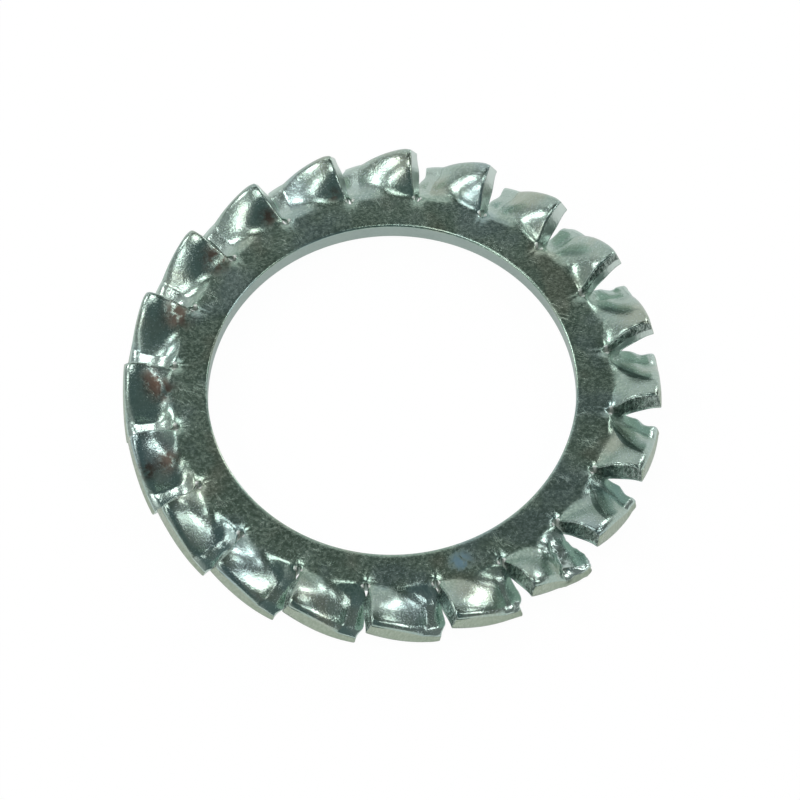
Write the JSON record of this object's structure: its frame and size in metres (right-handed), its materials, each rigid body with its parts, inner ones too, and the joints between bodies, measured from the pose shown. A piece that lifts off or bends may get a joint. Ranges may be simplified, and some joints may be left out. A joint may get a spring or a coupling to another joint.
{
  "type": "toothed lock washer",
  "caption": "External toothed lock washer: flat spring steel ring with a crown of twisted, overlapping teeth around a plain round bore.",
  "frame": {"origin": "centre of the bore, halfway through the ring's thickness", "axes": "+Z along the bore's axis, towards the side on which the teeth stand highest"},
  "size_m": [0.0366, 0.0366, 0.0036],
  "materials": {
    "zinc_plated_steel": "Bright zinc plating with a faint green-grey tint over tumbled spring steel, with fine scratches and a few light brown stains."
  },
  "bodies": {
    "root": {"lock_washer": "zinc_plated_steel"}
  },
  "joints": []
}
